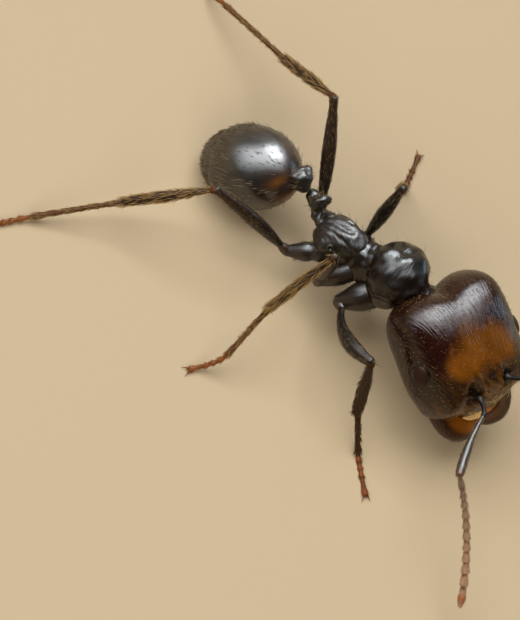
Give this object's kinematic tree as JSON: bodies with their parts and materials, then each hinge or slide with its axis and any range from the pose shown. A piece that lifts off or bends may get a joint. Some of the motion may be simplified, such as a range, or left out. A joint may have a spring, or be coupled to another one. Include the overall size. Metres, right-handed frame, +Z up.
{
  "type": "harvester ant",
  "caption": "Life-size still model of a big-headed harvester ant worker standing with its head turned down to its right.",
  "frame": {"origin": "middle of the bounding box, on the floor that the feet stand on", "axes": "+Z up, the ant faces -Y and its left side is +X"},
  "size_m": [0.0108, 0.0164, 0.0045],
  "materials": {
    "head_shell": "glossy dark maroon to amber cuticle, finely striate",
    "body_shell": "glossy black-brown cuticle",
    "limb_shell": "dark brown cuticle under short golden hair",
    "toe_shell": "reddish brown cuticle of the tarsi and antenna tips",
    "eye_glass": "grey-brown compound eye of fine facets"
  },
  "bodies": {
    "root": {"antenna_tip_left": "toe_shell", "antenna_tip_right": "toe_shell", "coxa_front_left": "body_shell", "coxa_front_right": "body_shell", "coxa_hind_left": "body_shell", "coxa_hind_right": "body_shell", "coxa_middle_left": "body_shell", "coxa_middle_right": "body_shell", "eye_left": "eye_glass", "eye_right": "eye_glass", "femur_front_left": "body_shell", "femur_front_right": "body_shell", "femur_hind_left": "body_shell", "femur_hind_right": "body_shell", "femur_middle_left": "body_shell", "femur_middle_right": "body_shell", "funiculus_left": "limb_shell", "funiculus_right": "limb_shell", "gaster": "body_shell", "head": "head_shell", "heel_front_left": "limb_shell", "heel_front_right": "limb_shell", "heel_hind_left": "limb_shell", "heel_hind_right": "limb_shell", "heel_middle_left": "limb_shell", "heel_middle_right": "limb_shell", "mandible_left": "head_shell", "mandible_right": "head_shell", "petiole": "body_shell", "postpetiole": "body_shell", "pronotum": "body_shell", "propodeum": "body_shell", "scape_left": "limb_shell", "scape_right": "limb_shell", "scape_root_left": "limb_shell", "scape_root_right": "limb_shell", "tibia_front_left": "limb_shell", "tibia_front_right": "limb_shell", "tibia_hind_left": "limb_shell", "tibia_hind_right": "limb_shell", "tibia_middle_left": "limb_shell", "tibia_middle_right": "limb_shell", "toes_front_left": "toe_shell", "toes_front_right": "toe_shell", "toes_hind_left": "toe_shell", "toes_hind_right": "toe_shell", "toes_middle_left": "toe_shell", "toes_middle_right": "toe_shell"}
  },
  "joints": []
}
